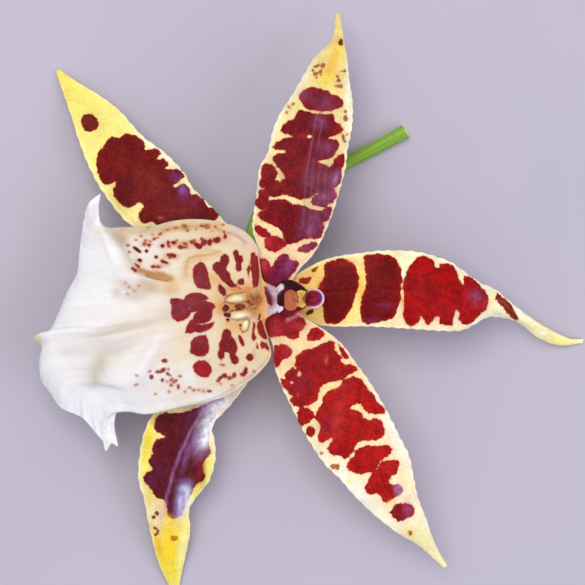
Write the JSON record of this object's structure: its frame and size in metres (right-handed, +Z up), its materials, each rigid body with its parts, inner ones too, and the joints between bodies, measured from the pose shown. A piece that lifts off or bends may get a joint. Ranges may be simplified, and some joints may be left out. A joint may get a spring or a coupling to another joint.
{
  "type": "brassia orchid",
  "caption": "Picked star-shaped orchid bloom lying face up: spotted sepals and petals and a broad pale lip around a short column, on its bent ovary and pedicel.",
  "frame": {"origin": "bottom centre of the bloom's bounding box, on the surface that it lies on", "axes": "+Z up, out of the face of the bloom; -X towards the lip's tip; +Y towards the upper petal"},
  "size_m": [0.115, 0.1224, 0.025],
  "materials": {
    "sepal": "satin",
    "petal": "satin",
    "lip": "matte",
    "column": "satin",
    "anther_cap": "satin",
    "pollinarium": "gloss",
    "stalk": "satin"
  },
  "bodies": {
    "root": {"dorsal_sepal": "sepal", "lateral_sepal_upper": "sepal", "lateral_sepal_lower": "sepal", "petal_upper": "petal", "petal_lower": "petal", "lip": "lip", "column": "column", "anther_cap": "anther_cap", "pollinarium": "pollinarium", "ovary_pedicel": "stalk"}
  },
  "joints": []
}
